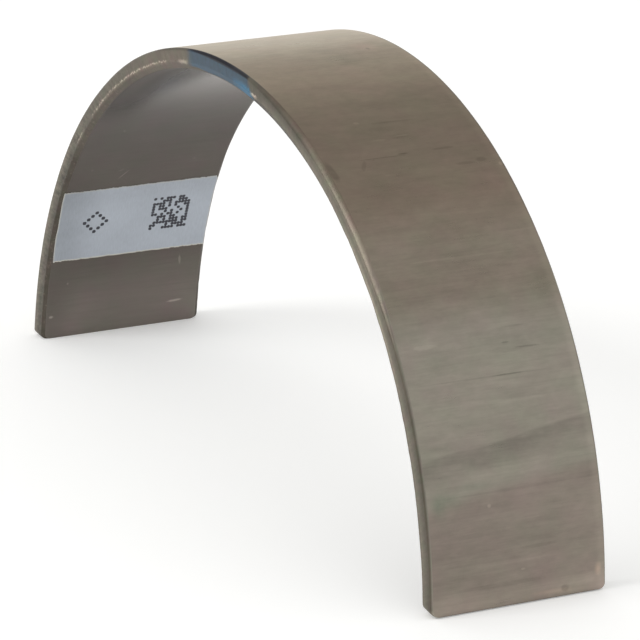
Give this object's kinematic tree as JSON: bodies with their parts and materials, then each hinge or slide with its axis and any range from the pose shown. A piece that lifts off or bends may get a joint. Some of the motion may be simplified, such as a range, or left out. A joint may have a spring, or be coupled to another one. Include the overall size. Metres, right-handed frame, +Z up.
{
  "type": "engine bearing shell",
  "caption": "Plain half shell of an engine bearing with chamfered edges, sprung open, with a paper label across its bore.",
  "frame": {"origin": "midway between the two legs and between the two end faces, on the surface that the shell stands on", "axes": "+Z up to the crown, +Y along the bearing's axis, +X across from the leg with the label to the other leg"},
  "size_m": [0.0642, 0.0136, 0.0304],
  "materials": {
    "bearing_metal": "dull satin, rolled and handled",
    "label_paper": "matt film"
  },
  "bodies": {
    "root": {"bearing_shell": "bearing_metal", "label": "label_paper"}
  },
  "joints": []
}
